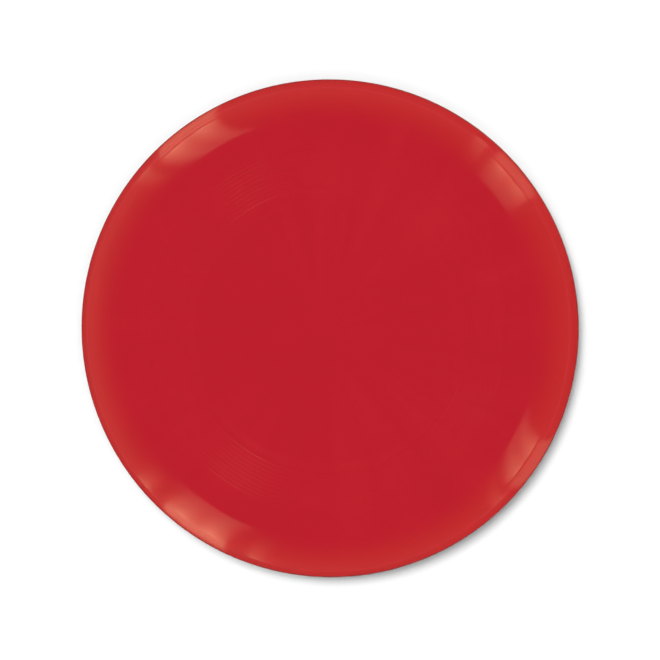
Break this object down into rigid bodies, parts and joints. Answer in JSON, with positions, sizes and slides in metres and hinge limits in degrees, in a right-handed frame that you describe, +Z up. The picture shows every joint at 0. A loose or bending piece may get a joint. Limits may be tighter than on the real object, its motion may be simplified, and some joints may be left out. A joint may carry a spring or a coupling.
{
  "type": "flying disc",
  "caption": "Plain round throwing disc with a flat middle, raised flight rings, a rolled shoulder and a moulded grip rim, open underneath.",
  "frame": {"origin": "on the disc's axis, at the level of the rim's lip", "axes": "+Z up along the disc's axis, from the open underside to the top"},
  "size_m": [0.235, 0.235, 0.028],
  "materials": {
    "plate_plastic": "gloss",
    "rim_plastic": "gloss"
  },
  "bodies": {
    "root": {"flight_plate": "plate_plastic", "rim_ring": "rim_plastic"}
  },
  "joints": []
}
